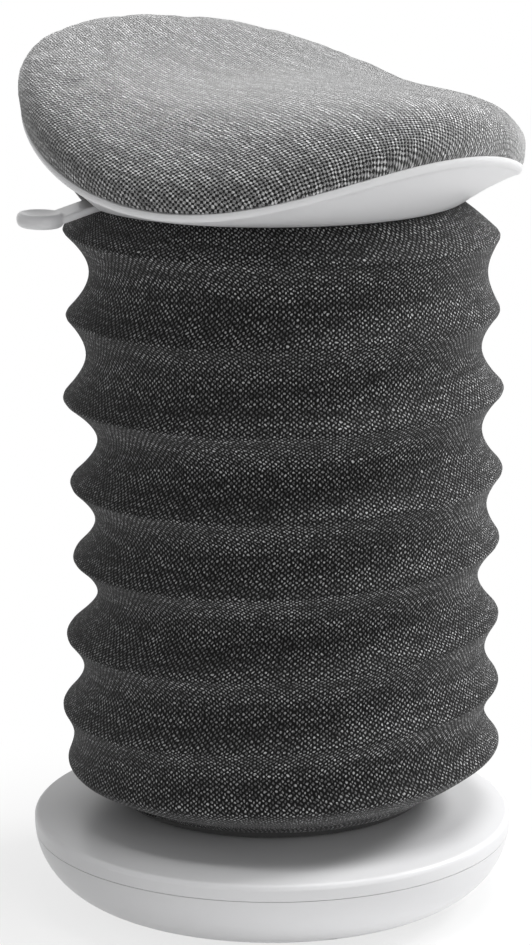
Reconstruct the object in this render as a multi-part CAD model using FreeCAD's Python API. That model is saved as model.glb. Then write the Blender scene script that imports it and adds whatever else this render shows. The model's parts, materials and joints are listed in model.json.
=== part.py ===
import FreeCAD, Part
import math
import os

# Height-adjustable wobble stool: weighted rocking base, gas column, ribbed fabric sleeve on hoops,
# saddle seat with an under-seat release lever.
# Millimetres. +Z is up, +X is the front of the seat, the column's axis is the Z axis,
# and Z = 0 is the flat of the sole.

Vector = FreeCAD.Vector
UP = Vector(0, 0, 1)

# Fits
fabric_gap = 0.3            # between a soft piece and a hard one
running_gap = 0.08          # radial play of a turning or sliding fit
part_gap = 0.4              # seam between two moulded shells
head_gap = 0.5              # play round a screw head

# Rocking base
base_radius = 169.5         # widest radius
side_radius = 50.0          # round side of the bowl, in section
bowl_bottom = 6.0           # underside of the bowl, above the floor
seam_drop = 6.0             # line between bowl and cover, below the widest line
rim_band = 2.0              # upright band over the widest line
rim_rounding = 4.0
cover_slope = 10.0          # degrees, the cover rises towards the middle
bowl_wall = 4.0
bowl_floor_top = 12.0
cover_wall = 3.0
cover_lip_depth = 6.0
cover_lip_wall = 3.0
cover_hole_gap = 2.0        # cover hole round the column tube

sole_inset = 14.5           # edge of the rubber sole, inside the foot of the round side
sole_flat_radius = 40.0     # flat middle that it stands on
sole_dome_radius = 1200.0   # radius that it rocks on
sole_top = 8.0

ballast_inset = 15.0        # edge of the ballast, inside the screws' circle
ballast_thickness = 22.0
ballast_hole_gap = 5.0      # round the socket

base_screw_count = 6
base_screw_inset = 28.5     # screws' circle, inside the widest radius
base_screw_start = 30.0     # degrees from the front to the first screw
base_screw_radius = 2.0
base_screw_head_radius = 4.0
base_screw_head_height = 3.0
base_screw_length = 18.0
base_post_radius = 6.0
base_boss_top = 20.0
base_boss_floor = 3.0

# Column
tube_radius = 25.0
tube_wall = 2.0
tube_bottom = 20.0
tube_top = 300.0
tube_end_plate = 4.0
socket_wall = 6.0
socket_bottom = 13.0
socket_ledge = 4.0
socket_rise = 34.0          # socket above its flange
flange_radius = 76.0
flange_thickness = 4.0
flange_bolt_count = 4
flange_bolt_circle = 56.0
flange_bolt_start = 45.0
flange_bolt_radius = 4.0
flange_bolt_head_radius = 6.5
flange_bolt_head_height = 5.0

cylinder_radius = 14.0
cylinder_wall = 2.5
cylinder_bottom = 172.0
cylinder_head = 17.0        # closed top that holds the valve pin
taper_length = 44.0
taper_top_radius = 13.0
bush_length = 75.0
bush_lip = 3.0
rod_radius = 5.0
rod_tail = 6.0              # rod below the tube's end plate
rod_height = 250.0          # rod above the tube's end plate
piston_length = 14.0
rod_guide_length = 18.0
rod_collar_radius = 8.0
rod_collar_height = 4.0
bump_stop_height = 4.0
clip_radius = 9.0
clip_thickness = 2.0
washer_radius = 19.0
washer_thickness = 2.0
ball_radius = 2.0
ball_count = 12

# Seat mechanism
plate_length = 150.0
plate_width = 110.0
plate_thickness = 3.0
plate_rise = 16.0           # top of the plate, above the under-shell's flat
plate_corner = 12.0
hub_wall = 6.0
plate_screw_spacing_x = 120.0
plate_screw_spacing_y = 76.0
plate_screw_radius = 3.0
plate_screw_length = 12.0
plate_screw_head_radius = 5.5
plate_screw_head_height = 3.5
post_wall = 4.5             # board posts round their screws
pin_radius = 4.0
pin_play = 0.5              # between valve pin and lever

lever_heading = -114.4      # degrees from the front, seen from above
lever_pivot_reach = 35.0
lever_pivot_rise = 5.2      # above the seat plate
lever_nose = 3.0            # past the column's axis
lever_bend_reach = 60.0
lever_exit_inset = 3.0      # where it leaves the under-shell, inside the edge of its flat
lever_exit_rise = 3.5       # and above that flat
lever_arm_width = 14.0
lever_arm_thickness = 3.0
lever_arm_end = 104.0
lever_axle_radius = 2.5
bracket_wall = 2.5
bracket_gap = 0.3
handle_start = 90.0
handle_width = 30.0
handle_thickness = 5.0
paddle_inset = 7.1          # middle of the dished paddle, inside the seat's half width
paddle_drop = 4.5           # its underside, below the under-shell's flat
paddle_length = 33.0
paddle_width = 43.0
paddle_depth = 7.5
paddle_wall = 3.0
lever_travel = 5.0          # degrees, upwards
slot_gap = 2.0

# Seat, described by its rim: a saddle line round an oval
seat_front = 162.4          # rim in front of the column's axis
seat_back = 157.6
seat_half_width = 178.6
rim_side_rise = 25.7        # rim above the under-shell's flat, lowest at both sides
rim_front_rise = 43.4
rim_back_rise = 88.8
rim_twist = -49.1           # fore and aft slope of the rim at the sides
cushion_thickness = 50.7
cushion_squareness = 3.64   # 2 is an ellipse in section, higher is boxier
cushion_bulge = 3.5         # side stands out past the rim
seat_middle_rise = 33.7     # underside of the cushion over the column
cover_cloth = 2.2
shell_wall = 4.0
shell_band = 7.0            # upright band under the seam
shell_floor_height = 499.0  # flat under the under-shell, which the sleeve meets
shell_floor_margin = 4.0    # edge of that flat, outside the upper ring
board_thickness = 6.0
shell_screw_circle = 111.0
shell_screw_angles = (40.0, 140.0, 220.0, 320.0)
shell_screw_radius = 2.0
shell_screw_length = 18.0
shell_screw_head_radius = 4.0
shell_screw_head_height = 2.5

# Sleeve and its hoops
hoop_count = 8
sleeve_wall = 2.5
crest_radius = 152.0
valley_depth = 15.0
crest_half_band = 4.0
valley_half_band = 5.0
first_hoop_rise = 28.0      # lowest hoop, above the fabric's lower edge
last_hoop_drop = 24.0       # highest hoop, below the under-shell's flat
hoop_crowding = 0.4         # the lowest gaps are this much closer, shrinking upwards
first_gap_share = 0.28      # how far the lowest gap is closed
hem_reach = 11.0            # hem, outside the lower ring
hem_rise = 7.0              # hem, above the fabric's lower edge
sleeve_tuck = 3.56          # fabric's lower edge, above the foot of the lower ring
sleeve_shift = 8.2          # the fabric stands off the column's axis
sleeve_shift_heading = 43.6
sleeve_sag = 3.1            # degrees, the most that a hoop tips
hoop_wire_radius = 2.0
hoop_inset = 1.0            # play between hoop and fabric

lower_ring_width = 11.0     # outside the rail
lower_ring_height = 9.6
rail_radius = 97.0
rail_wall = 3.0
rail_height = 7.0
rail_lip = 2.5
rail_lip_height = 3.0
upper_ring_radius = 127.0
upper_ring_width = 22.0
upper_ring_thickness = 5.0

# Values that follow
side_centre_radius = base_radius - side_radius
side_centre_height = bowl_bottom + side_radius
seam_height = side_centre_height - seam_drop
rim_band_height = side_centre_height + rim_band
sole_radius = side_centre_radius - sole_inset
base_screw_circle = base_radius - base_screw_inset
ballast_outer_radius = base_screw_circle - ballast_inset
socket_radius = tube_radius + socket_wall
ballast_hole_radius = socket_radius + ballast_hole_gap
ballast_top = bowl_floor_top + ballast_thickness
flange_top = ballast_top + flange_thickness
end_plate_top = tube_bottom + tube_end_plate
race_top = end_plate_top + 2 * washer_thickness + 2 * ball_radius
plate_top = shell_floor_height + plate_rise
hub_bottom = plate_top - plate_thickness - taper_length
column_top = plate_top - plate_thickness
pivot_height = plate_top + lever_pivot_rise
rim_side_height = shell_floor_height + rim_side_rise
rim_front_height = shell_floor_height + rim_front_rise
rim_back_height = shell_floor_height + rim_back_rise
seat_middle_height = shell_floor_height + seat_middle_rise
shell_floor_radius = upper_ring_radius + shell_floor_margin
lower_ring_radius = rail_radius + lower_ring_width
hem_radius = lower_ring_radius + hem_reach
shell_floor_top = shell_floor_height + shell_wall
shell_screw_face = shell_floor_height - upper_ring_thickness
lever_exit_reach = shell_floor_radius - lever_exit_inset
lever_exit_height = shell_floor_height + lever_exit_rise
paddle_reach = seat_half_width - paddle_inset
paddle_height = shell_floor_height - paddle_drop
paddle_rise = paddle_height + paddle_depth / 2 - lever_exit_height
lever_line_slope = paddle_rise / (paddle_reach - lever_exit_reach)


def revolve_edges(edges):
    """Solid of revolution from joined edges that lie in the XZ plane."""
    return Part.Face(Part.Wire(edges)).revolve(Vector(0, 0, 0), UP, 360)


def section_point(radius, height):
    return Vector(radius, 0, height)


def line(start, end):
    return Part.LineSegment(start, end).toShape()


def arc(start, middle, end):
    return Part.Arc(start, middle, end).toShape()


def rod(radius, bottom, top, x=0.0, y=0.0):
    return Part.makeCylinder(radius, top - bottom, Vector(x, y, bottom))


def ring(outer, inner, bottom, top):
    return rod(outer, bottom, top).cut(rod(inner, bottom - 1, top + 1))


def around(count, circle, start=0.0):
    """Points at even steps on a circle about the column's axis."""
    steps = [math.radians(start + 360.0 * index / count) for index in range(count)]
    return [(circle * math.cos(step), circle * math.sin(step)) for step in steps]


def at_angles(circle, angles):
    turns = [math.radians(angle) for angle in angles]
    return [(circle * math.cos(turn), circle * math.sin(turn)) for turn in turns]


def screws(places, radius, head_radius, head_height, head_face, length):
    """Screws that point up, with their heads hanging below head_face."""
    made = []
    for x, y in places:
        head = rod(head_radius, head_face - head_height, head_face, x, y)
        made.append(head.fuse(rod(radius, head_face, head_face + length, x, y)))
    return Part.makeCompound(made)


def shafts(places, radius, bottom, top):
    return Part.makeCompound([rod(radius, bottom, top, x, y) for x, y in places])


def joined(shape, others):
    whole = shape.fuse(others)
    return whole.removeSplitter()


# Rocking base

base_screw_places = around(base_screw_count, base_screw_circle, base_screw_start)
base_head_face = base_boss_top - base_boss_floor


def side_height(radius, inset):
    """Height of the bowl's round side at a radius, inset from its outside."""
    run = radius - side_centre_radius
    return side_centre_height - math.sqrt((side_radius - inset) ** 2 - run ** 2)


def side_reach(height, inset):
    """Radius of the bowl's round side at a height, inset from its outside."""
    drop = side_centre_height - height
    return side_centre_radius + math.sqrt((side_radius - inset) ** 2 - drop ** 2)


def side_arc(low, high, inset):
    middle = (low + high) / 2
    points = [section_point(side_reach(height, inset), height) for height in (low, middle, high)]
    return arc(*points)


def base_shell():
    outer_low = section_point(side_centre_radius, bowl_bottom)
    outer_high = section_point(side_reach(seam_height, 0), seam_height)
    outer_middle = section_point(side_reach(seam_height / 2, 0), seam_height / 2)
    inner = side_arc(bowl_floor_top, seam_height, bowl_wall)
    inner_low = inner.Vertexes[0].Point
    inner_high = inner.Vertexes[1].Point
    sole_edge = section_point(sole_radius, bowl_bottom)
    recess_edge = section_point(sole_radius, sole_top)
    recess_middle = section_point(0, sole_top)
    floor_middle = section_point(0, bowl_floor_top)
    bowl = revolve_edges([
        line(recess_middle, recess_edge),
        line(recess_edge, sole_edge),
        line(sole_edge, outer_low),
        arc(outer_low, outer_middle, outer_high),
        line(outer_high, inner_high),
        inner,
        line(inner_low, floor_middle),
        line(floor_middle, recess_middle),
    ])
    boss_radius = base_screw_head_radius + head_gap + bowl_wall
    boss_foot = side_height(base_screw_circle, bowl_wall / 2)
    bosses = shafts(base_screw_places, boss_radius, boss_foot, base_boss_top)
    outside = revolve_edges([
        line(section_point(0, bowl_bottom), outer_low),
        arc(outer_low, outer_middle, outer_high),
        line(outer_high, section_point(0, seam_height)),
        line(section_point(0, seam_height), section_point(0, bowl_bottom)),
    ])
    bowl = joined(bowl, bosses.common(outside))
    head_wells = shafts(base_screw_places, base_screw_head_radius + head_gap, 0, base_head_face)
    shaft_holes = shafts(base_screw_places, base_screw_radius, 0, base_boss_top + 1)
    return bowl.cut(head_wells).cut(shaft_holes)


def base_sole():
    edge_height = (sole_radius ** 2 - sole_flat_radius ** 2) / (2 * sole_dome_radius)
    middle_radius = (sole_radius + sole_flat_radius) / 2
    middle_height = (middle_radius ** 2 - sole_flat_radius ** 2) / (2 * sole_dome_radius)
    flat_middle = section_point(0, 0)
    flat_edge = section_point(sole_flat_radius, 0)
    edge_low = section_point(sole_radius, edge_height)
    edge_high = section_point(sole_radius, sole_top)
    top_middle = section_point(0, sole_top)
    return revolve_edges([
        line(flat_middle, flat_edge),
        arc(flat_edge, section_point(middle_radius, middle_height), edge_low),
        line(edge_low, edge_high),
        line(edge_high, top_middle),
        line(top_middle, flat_middle),
    ])


slope_rise = math.tan(math.radians(cover_slope))
rounding_centre = base_radius - rim_rounding
slope_start_radius = rounding_centre + rim_rounding * math.sin(math.radians(cover_slope))
slope_start_height = rim_band_height + rim_rounding * math.cos(math.radians(cover_slope))
cover_hole_radius = tube_radius + cover_hole_gap
collar_radius = socket_radius + cover_wall + cover_hole_gap


def cover_height(radius):
    """Height of the cover's sloping top at a radius."""
    return slope_start_height + (slope_start_radius - radius) * slope_rise


rail_top = cover_height(rail_radius) + rail_height


def base_cover():
    seam_low = seam_height + part_gap
    lip_outer = side_reach(seam_height - cover_lip_depth, bowl_wall) - part_gap
    lip_inner = lip_outer - cover_lip_wall
    lip_bottom = seam_height - cover_lip_depth
    half_turn = math.radians((90.0 + cover_slope) / 2)
    rounding_middle = section_point(rounding_centre + rim_rounding * math.cos(half_turn),
                                    rim_band_height + rim_rounding * math.sin(half_turn))
    corners = [
        section_point(slope_start_radius, slope_start_height),
        section_point(collar_radius, cover_height(collar_radius)),
        section_point(cover_hole_radius, cover_height(collar_radius)),
        section_point(cover_hole_radius, cover_height(collar_radius) - cover_wall),
        section_point(collar_radius, cover_height(collar_radius) - cover_wall),
        section_point(lip_inner, cover_height(lip_inner) - cover_wall),
        section_point(lip_inner, lip_bottom),
        section_point(lip_outer, lip_bottom),
        section_point(lip_outer, seam_low),
        section_point(side_reach(seam_low, 0), seam_low),
    ]
    band_low = section_point(base_radius, side_centre_height)
    band_high = section_point(base_radius, rim_band_height)
    edges = [line(start, end) for start, end in zip(corners, corners[1:])]
    edges.append(side_arc(seam_low, side_centre_height, 0))
    edges.append(line(band_low, band_high))
    edges.append(arc(band_high, rounding_middle, corners[0]))
    cover = revolve_edges(edges)
    web = ring(rail_radius, rail_radius - rail_wall, cover_height(rail_radius) - cover_wall / 2, rail_top)
    lip = ring(rail_radius + rail_lip, rail_radius - rail_wall, rail_top - rail_lip_height, rail_top)
    post_top = cover_height(base_screw_circle + base_post_radius) - cover_wall / 2
    posts = shafts(base_screw_places, base_post_radius, base_boss_top, post_top)
    cover = joined(cover, [web, lip] + posts.Solids)
    return cover.cut(shafts(base_screw_places, base_screw_radius, 0, base_head_face + base_screw_length))


flange_bolt_places = around(flange_bolt_count, flange_bolt_circle, flange_bolt_start)


def ballast():
    disc = ring(ballast_outer_radius, ballast_hole_radius, bowl_floor_top, ballast_top)
    return disc.cut(shafts(flange_bolt_places, flange_bolt_radius, 0, flange_top))


def column_socket():
    socket = rod(socket_radius, socket_bottom, flange_top + socket_rise)
    flange = rod(flange_radius, ballast_top, flange_top)
    bore = rod(tube_radius, tube_bottom, flange_top + socket_rise + 1)
    relief = rod(tube_radius - socket_ledge, socket_bottom - 1, tube_bottom + 1)
    socket = joined(socket, flange).cut(bore).cut(relief)
    return socket.cut(shafts(flange_bolt_places, flange_bolt_radius, 0, flange_top + 1))


def flange_bolts():
    bolts = []
    for x, y in flange_bolt_places:
        head = rod(flange_bolt_head_radius, flange_top, flange_top + flange_bolt_head_height, x, y)
        bolts.append(head.fuse(rod(flange_bolt_radius, bowl_floor_top, flange_top, x, y)))
    return Part.makeCompound(bolts)


# Column

def column_tube():
    tube = rod(tube_radius, tube_bottom, tube_top)
    tube = tube.cut(rod(tube_radius - tube_wall, end_plate_top, tube_top + 1))
    return tube.cut(rod(rod_radius + running_gap, 0, end_plate_top + 1))


def guide_bush():
    bore = cylinder_radius + running_gap
    bush = ring(tube_radius - tube_wall, bore, tube_top - bush_length, tube_top)
    return joined(bush, ring(tube_radius, bore, tube_top, tube_top + bush_lip))


def thrust_washer_lower():
    return ring(washer_radius, rod_radius + running_gap, end_plate_top, end_plate_top + washer_thickness)


def thrust_balls():
    track = (washer_radius + rod_radius) / 2
    height = end_plate_top + washer_thickness + ball_radius
    places = around(ball_count, track)
    size = ball_radius - running_gap / 4
    return Part.makeCompound([Part.makeSphere(size, Vector(x, y, height)) for x, y in places])


def thrust_washer_upper():
    return ring(washer_radius, rod_radius, race_top - washer_thickness, race_top)


def piston_rod():
    stem = rod(rod_radius, tube_bottom - rod_tail, end_plate_top + rod_height)
    return joined(stem, rod(rod_collar_radius, race_top, race_top + rod_collar_height))


def piston():
    top = end_plate_top + rod_height
    return ring(cylinder_radius - cylinder_wall - running_gap, rod_radius, top - piston_length, top)


def rod_clip():
    face = tube_bottom - part_gap
    return ring(clip_radius, rod_radius, face - clip_thickness, face)


def bump_stop():
    foot = race_top + rod_collar_height
    return ring(rod_collar_radius + 1.0, rod_radius, foot, foot + bump_stop_height)


def gas_cylinder():
    body = rod(cylinder_radius, cylinder_bottom, hub_bottom)
    taper = Part.makeCone(cylinder_radius, taper_top_radius, taper_length, Vector(0, 0, hub_bottom))
    bore = rod(cylinder_radius - cylinder_wall, cylinder_bottom - 1, column_top - cylinder_head)
    return body.fuse(taper).cut(bore).cut(rod(pin_radius + running_gap, hub_bottom, column_top + 1))


def rod_guide():
    bore = rod_radius + running_gap
    return ring(cylinder_radius - cylinder_wall, bore, cylinder_bottom, cylinder_bottom + rod_guide_length)


def release_pin():
    top = pivot_height - lever_arm_thickness / 2 - pin_play
    return rod(pin_radius, column_top - cylinder_head, top)


# Seat mechanism

plate_screw_places = [(x * plate_screw_spacing_x / 2, y * plate_screw_spacing_y / 2)
                      for x in (-1, 1) for y in (-1, 1)]


def cone_hub():
    hub = rod(taper_top_radius + hub_wall, hub_bottom, column_top)
    return hub.cut(Part.makeCone(cylinder_radius, taper_top_radius, taper_length, Vector(0, 0, hub_bottom)))


def turned_to_lever(shape):
    return shape.rotate(Vector(0, 0, 0), UP, lever_heading)


def seat_plate():
    plate = Part.makeBox(plate_length, plate_width, plate_thickness,
                         Vector(-plate_length / 2, -plate_width / 2, column_top))
    uprights = [edge for edge in plate.Edges if abs(edge.tangentAt(0).z) > 0.9]
    plate = plate.makeFillet(plate_corner, uprights)
    plate = plate.cut(rod(pin_radius * 2, 0, plate_top + 1))
    return plate.cut(shafts(plate_screw_places, plate_screw_radius, 0, plate_top + 1))


def lever_bracket():
    inner = lever_arm_width / 2 + bracket_gap
    outer = inner + bracket_wall
    length = 8 * lever_axle_radius
    top = pivot_height + 1.6 * lever_axle_radius
    base = Part.makeBox(length, 2 * outer, bracket_wall / 2,
                        Vector(lever_pivot_reach - length / 2, -outer, plate_top))
    block = Part.makeBox(length, 2 * outer, top - plate_top,
                         Vector(lever_pivot_reach - length / 2, -outer, plate_top))
    hollow = Part.makeBox(2 * length, 2 * inner, 2 * (top - plate_top),
                          Vector(lever_pivot_reach - length, -inner, plate_top + bracket_wall / 2))
    bracket = joined(block.cut(hollow), base)
    axle = Part.makeCylinder(lever_axle_radius, 4 * outer,
                             Vector(lever_pivot_reach, -2 * outer, pivot_height), Vector(0, 1, 0))
    return turned_to_lever(bracket.cut(axle))


def lever_axle():
    reach = lever_arm_width / 2 + bracket_gap + bracket_wall
    axle = Part.makeCylinder(lever_axle_radius, 2 * reach,
                             Vector(lever_pivot_reach, -reach, pivot_height), Vector(0, 1, 0))
    return turned_to_lever(axle)


def lever_line(reach):
    """Height of the lever's middle line at a reach from the column."""
    if reach <= lever_bend_reach:
        return pivot_height
    if reach <= lever_exit_reach:
        share = (reach - lever_bend_reach) / (lever_exit_reach - lever_bend_reach)
        return pivot_height + (lever_exit_height - pivot_height) * share
    return lever_exit_height + (reach - lever_exit_reach) * lever_line_slope


def bent_bar(start, end, width, thickness):
    """Flat bar along the lever's line."""
    bends = [reach for reach in (lever_bend_reach, lever_exit_reach) if start < reach < end]
    stations = [start] + bends + [end]
    lower = [Vector(reach, -width / 2, lever_line(reach) - thickness / 2) for reach in stations]
    upper = [Vector(reach, -width / 2, lever_line(reach) + thickness / 2) for reach in reversed(stations)]
    outline = lower + upper + [lower[0]]
    return Part.Face(Part.makePolygon(outline)).extrude(Vector(0, width, 0))


def lever_arm():
    arm = bent_bar(-lever_nose, lever_arm_end, lever_arm_width, lever_arm_thickness)
    eye_radius = lever_axle_radius + 1.2
    eye = Part.makeCylinder(eye_radius, lever_arm_width,
                            Vector(lever_pivot_reach, -lever_arm_width / 2, pivot_height), Vector(0, 1, 0))
    hole = Part.makeCylinder(lever_axle_radius + running_gap, 2 * lever_arm_width,
                             Vector(lever_pivot_reach, -lever_arm_width, pivot_height), Vector(0, 1, 0))
    return turned_to_lever(joined(arm, eye).cut(hole))


def paddle():
    """Dished oval at the lever's end."""
    rim = paddle_width / 2
    outer_radius = (rim ** 2 + paddle_depth ** 2) / (2 * paddle_depth)
    centre = Vector(0, 0, outer_radius)
    outer = Part.makeSphere(outer_radius, centre)
    hollow = Part.makeSphere(outer_radius, centre + Vector(0, 0, paddle_wall))
    dish = outer.cut(hollow).common(rod(rim, 0, paddle_depth))
    squeeze = FreeCAD.Matrix()
    squeeze.scale(paddle_length / paddle_width, 1, 1)
    dish = dish.transformGeometry(squeeze)
    dish.rotate(Vector(0, 0, 0), Vector(0, 1, 0), -math.degrees(math.atan(lever_line_slope)))
    dish.translate(Vector(paddle_reach, 0, paddle_height))
    return dish


def lever_handle():
    blade_end = paddle_reach - paddle_length / 2 + paddle_wall
    blade = bent_bar(handle_start, blade_end, handle_width, handle_thickness)
    along = [edge for edge in blade.Edges if abs(edge.tangentAt(0).y) < 0.1]
    long_edges = [edge for edge in along if edge.Length > handle_thickness + 1]
    blade = blade.makeFillet(handle_thickness * 0.35, long_edges)
    handle = joined(blade, paddle())
    arm = bent_bar(-lever_nose, lever_arm_end, lever_arm_width, lever_arm_thickness)
    return turned_to_lever(handle.cut(arm))


# Seat

seat_stations = [-0.992, -0.97, -0.92, -0.82, -0.66, -0.45, -0.22, 0.0,
                 0.22, 0.45, 0.66, 0.82, 0.92, 0.97, 0.992]
rim_curve = (rim_front_height + rim_back_height) / 2 - rim_side_height
rim_cubic = (rim_front_height - rim_back_height) / 2 - rim_twist


def rim_height(share):
    """Height of the seat's rim, share runs from -1 at the back to 1 at the front."""
    return rim_side_height + rim_twist * share + rim_curve * share ** 2 + rim_cubic * share ** 3


def middle_height(share):
    """Height of the cushion's underside over the seat's centre line."""
    tip = rim_front_height if share > 0 else rim_back_height
    return seat_middle_height + (tip - seat_middle_height) * share ** 2


def station_place(share, inset):
    """X place and half width of the oval at a station, inset from the rim."""
    length = (seat_front if share > 0 else seat_back) - inset
    return share * length, (seat_half_width - inset) * math.sqrt(1 - share ** 2)


def rim_share(x):
    return x / (seat_front if x > 0 else seat_back)


def saddle_height(x, y):
    """Height of the cushion's underside, a round arc across the seat at each x."""
    share = rim_share(x)
    half = station_place(share, 0)[1]
    middle = middle_height(share)
    rise = rim_height(share) - middle
    bend = 2 * rise / (half ** 2 + rise ** 2)
    return middle + bend * y ** 2 / (1 + math.sqrt(1 - (bend * y) ** 2))


def bowl_height(x, y):
    """Height of the under-shell's outside, a round arc across the seat at each x."""
    share = rim_share(x)
    half = station_place(share, 0)[1]
    band = rim_height(share) - shell_band
    spread = shell_floor_radius ** 2 - x ** 2
    centre = (half ** 2 - spread + band ** 2 - shell_floor_height ** 2) / (2 * (band - shell_floor_height))
    return centre - math.sqrt(half ** 2 + (band - centre) ** 2 - y ** 2)


def cushion_rise(share, across, thickness):
    """Rise of the cushion's top above its underside, across runs from 0 to 1."""
    spread = share ** 2 + across ** 2 * (1 - share ** 2)
    return thickness * (1 - min(1.0, spread) ** (cushion_squareness / 2)) ** (1 / cushion_squareness)


def cushion_wire(share, inset, thickness, depth):
    """Section of the cushion, its underside lowered by depth between upright edges."""
    x, half = station_place(share, inset)

    def top(across, bulge=0.0):
        height = saddle_height(x, half * across) + cushion_rise(share, across, thickness)
        return half * across + bulge, height

    edge = (half, saddle_height(x, half))
    right = [edge, top(0.975, cushion_bulge), top(0.92, cushion_bulge * 0.4), top(0.8), top(0.62)]
    points = [Vector(x, side, height) for side, height in right]
    mirror = [Vector(x, -side, height) for side, height in right]
    crown = Vector(x, 0, top(0.0)[1])
    drop = UP * depth
    edges = [
        arc(points[0], points[1], points[2]),
        arc(points[2], points[3], points[4]),
        arc(points[4], crown, mirror[4]),
        arc(mirror[4], mirror[3], mirror[2]),
        arc(mirror[2], mirror[1], mirror[0]),
    ]
    if depth > 0:
        edges.append(line(mirror[0], mirror[0] - drop))
    edges.append(arc(mirror[0] - drop, Vector(x, 0, saddle_height(x, 0)) - drop, points[0] - drop))
    if depth > 0:
        edges.append(line(points[0] - drop, points[0]))
    return Part.Wire(edges)


def cushion_solid(inset, thickness, depth=0.0):
    wires = [cushion_wire(share, inset, thickness, depth) for share in seat_stations]
    return Part.makeLoft(wires, True, False)


def section_wire(x, half, top_edge, top_middle, low_edge, low_middle):
    """Closed section across the seat: an arc on top, upright sides and an arc below."""
    return Part.Wire([
        arc(Vector(x, -half, top_edge), Vector(x, 0, top_middle), Vector(x, half, top_edge)),
        line(Vector(x, half, top_edge), Vector(x, half, low_edge)),
        arc(Vector(x, half, low_edge), Vector(x, 0, low_middle), Vector(x, -half, low_edge)),
        line(Vector(x, -half, low_edge), Vector(x, -half, top_edge)),
    ])


def shell_wire(share, inset, top_drop):
    """Section of the under-shell: saddle top, upright band and round underside."""
    x, half = station_place(share, inset)
    return section_wire(x, half, saddle_height(x, half) - top_drop, saddle_height(x, 0) - top_drop,
                        bowl_height(x, half) + inset, bowl_height(x, 0) + inset)


def shell_solid(inset, top_drop, floor):
    wires = [shell_wire(share, inset, top_drop) for share in seat_stations]
    bowl = Part.makeLoft(wires, True, False)
    reach = 2 * seat_half_width
    keep = Part.makeBox(2 * reach, 2 * reach, reach, Vector(-reach, -reach, floor))
    return bowl.common(keep)


def board_wire(share):
    """Section of the seat board, thinned at its edge to sit inside the under-shell."""
    x, half = station_place(share, shell_wall + part_gap)
    edge = saddle_height(x, half) - part_gap
    middle = saddle_height(x, 0) - part_gap
    low_edge = max(edge - board_thickness, bowl_height(x, half) + shell_wall + part_gap)
    low_middle = max(middle - board_thickness, bowl_height(x, 0) + shell_wall + part_gap)
    return section_wire(x, half, edge, middle, low_edge, low_middle)


shell_screw_places = at_angles(shell_screw_circle, shell_screw_angles)


def seat_board():
    slab = Part.makeLoft([board_wire(share) for share in seat_stations], True, False)
    inside = shell_solid(shell_wall + part_gap, part_gap + board_thickness / 2, shell_floor_top)
    plate_posts = shafts(plate_screw_places, plate_screw_radius + post_wall, plate_top, rim_back_height)
    shell_post_radius = shell_screw_radius + post_wall
    shell_posts = shafts(shell_screw_places, shell_post_radius, shell_floor_top, rim_back_height)
    posts = [post.common(inside) for post in plate_posts.Solids + shell_posts.Solids]
    board = slab.fuse(posts)
    board = board.cut(shafts(plate_screw_places, plate_screw_radius, 0, column_top + plate_screw_length))
    screw_top = shell_screw_face + shell_screw_length
    return board.cut(shafts(shell_screw_places, shell_screw_radius, 0, screw_top))


def lever_slot():
    """Space that the lever sweeps through the under-shell."""
    start = (lever_bend_reach + lever_exit_reach) / 2
    end = lever_exit_reach + 0.8 * handle_width
    width = handle_width + 2 * slot_gap
    travel = (lever_exit_reach - lever_pivot_reach) * math.tan(math.radians(lever_travel))
    high = lever_exit_height + handle_thickness / 2 + travel + slot_gap
    corner = Vector(start, -width / 2, shell_screw_face)
    return turned_to_lever(Part.makeBox(end - start, width, high - shell_screw_face, corner))


def seat_shell():
    outer = shell_solid(0, part_gap, shell_floor_height)
    hollow = shell_solid(shell_wall, -2 * shell_wall, shell_floor_top)
    shell = outer.cut(hollow)
    shell = shell.cut(rod(taper_top_radius + hub_wall + slot_gap, 0, shell_floor_top + 1))
    shell = shell.cut(shafts(shell_screw_places, shell_screw_radius, 0, shell_floor_top + 1))
    return shell.cut(lever_slot())


def seat_foam():
    return cushion_solid(cover_cloth, cushion_thickness - cover_cloth)


def seat_cover():
    """Open below, where the cloth is drawn over the foam's edge."""
    hollow = cushion_solid(cover_cloth, cushion_thickness - cover_cloth, 4 * cover_cloth)
    return cushion_solid(0, cushion_thickness).cut(hollow)


# Sleeve

def hoop_shares():
    """Places of the hoops, from 0 at the lowest to 1 at the highest, closer together below."""
    gaps = [1 - first_gap_share * hoop_crowding ** index for index in range(hoop_count - 1)]
    total = sum(gaps)
    return [sum(gaps[:index]) / total for index in range(hoop_count)]


lower_ring_bottom = cover_height(rail_radius) + fabric_gap
sleeve_bottom = lower_ring_bottom + sleeve_tuck
sleeve_top = shell_floor_height - fabric_gap
hem_height = sleeve_bottom + hem_rise
first_hoop_height = sleeve_bottom + first_hoop_rise
hoop_run = shell_floor_height - last_hoop_drop - first_hoop_height
hoop_heights = [first_hoop_height + hoop_run * share for share in hoop_shares()]
sleeve_top_radius = upper_ring_radius + fabric_gap + sleeve_wall
shift_turn = math.radians(sleeve_shift_heading)
shift_way = Vector(math.cos(shift_turn), math.sin(shift_turn), 0)


def sleeve_tip(height):
    """Degrees that the fabric tips towards the shifted side's opposite, at a height."""
    share = (height - sleeve_bottom) / (sleeve_top - sleeve_bottom)
    return sleeve_sag * math.sin(math.pi * max(0.0, min(1.0, share)) ** 0.45)


def sleeve_axis(height, tipping):
    lean = math.tan(math.radians(tipping))
    axis = UP - shift_way * lean
    return axis.normalize()


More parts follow.
